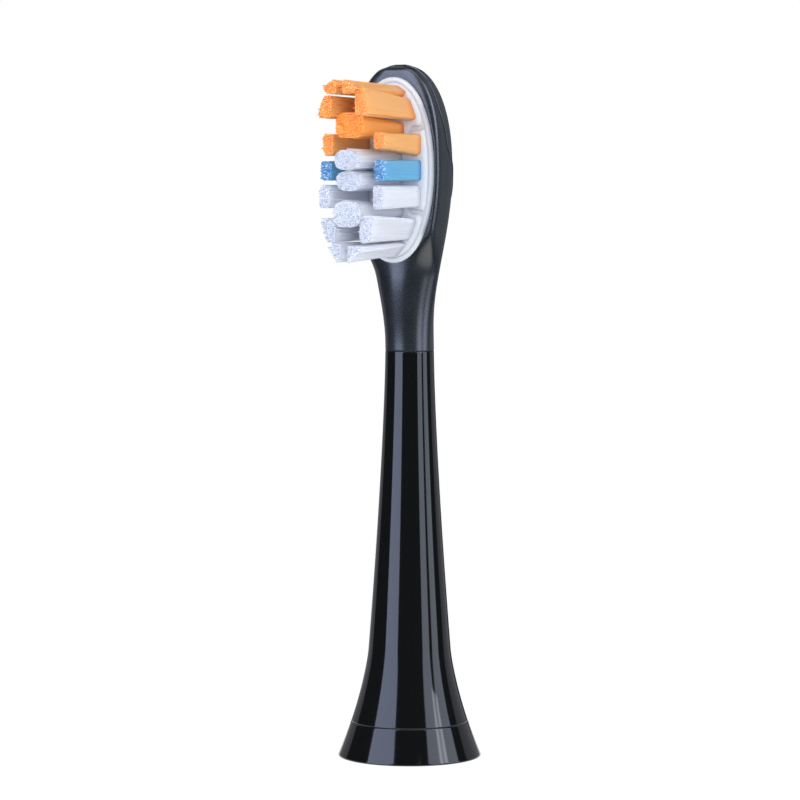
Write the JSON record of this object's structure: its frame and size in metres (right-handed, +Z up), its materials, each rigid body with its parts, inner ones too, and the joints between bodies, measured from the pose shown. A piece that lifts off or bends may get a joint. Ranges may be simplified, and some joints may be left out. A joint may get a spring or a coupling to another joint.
{
  "type": "electric toothbrush head",
  "caption": "Click-on electric toothbrush head: flared base with a separate ring, slim tapered neck, soft-backed oval head, and block tufts on sprung carriers in a flexible face.",
  "frame": {"origin": "centre of the base rim's plane, where the head meets a handle or stands on a shelf", "axes": "+Z up the neck's axis to the tip, -Y the way the bristles point, +X to the right of the bristle face seen from the front"},
  "size_m": [0.0158, 0.0221, 0.0768],
  "materials": {
    "gloss_black": "injection-moulded, polished",
    "soft_grey": "overmoulded elastomer, satin",
    "soft_white": "moulded elastomer, satin",
    "carrier_white": "moulded, semi-gloss",
    "bush_white": "moulded acetal, plain",
    "spring_steel": "rolled strip",
    "orange_filament": "drawn nylon filament",
    "deep_orange_filament": "drawn nylon filament",
    "blue_filament": "drawn nylon filament, dyed",
    "white_filament": "drawn nylon filament"
  },
  "bodies": {
    "root": {"base_ring": "gloss_black", "neck": "gloss_black", "coupling_hub": "bush_white", "head_overmould": "soft_grey", "membrane": "soft_white"},
    "clip": {"shaft_clip": "spring_steel"},
    "upper_face": {"upper_carrier": "carrier_white", "toe_tuft_left": "orange_filament", "toe_tuft_right": "orange_filament", "shoulder_tuft_left": "orange_filament", "shoulder_tuft_right": "orange_filament", "upper_waist_tuft": "deep_orange_filament"},
    "middle_face": {"middle_carrier": "carrier_white", "upper_side_tuft_left": "orange_filament", "upper_side_tuft_right": "orange_filament", "indicator_tuft_left": "blue_filament", "indicator_tuft_right": "blue_filament", "lower_side_tuft_left": "white_filament", "lower_side_tuft_right": "white_filament", "upper_centre_tuft": "white_filament", "lower_centre_tuft": "white_filament"},
    "lower_face": {"lower_carrier": "carrier_white", "lower_waist_tuft": "white_filament", "hip_tuft_left": "white_filament", "hip_tuft_right": "white_filament", "heel_tuft_left": "white_filament", "heel_tuft_right": "white_filament"}
  },
  "joints": [
    {"name": "upper_carrier_press", "type": "slide", "parent": "root", "child": "upper_face", "axis": [0, 1, 0], "range_m": [0, 0.0004], "stiffness_N_per_m": 20},
    {"name": "middle_carrier_press", "type": "slide", "parent": "root", "child": "middle_face", "axis": [0, 1, 0], "range_m": [0, 0.0004], "stiffness_N_per_m": 20},
    {"name": "lower_carrier_press", "type": "slide", "parent": "root", "child": "lower_face", "axis": [0, 1, 0], "range_m": [0, 0.0004], "stiffness_N_per_m": 20},
    {"name": "clip_flex", "type": "hinge", "parent": "root", "child": "clip", "pos_m": [0, 0.00197, 0.0244], "axis": [1, 0, 0], "range_deg": [0, 3], "stiffness_Nm_per_rad": 0.00002}
  ]
}
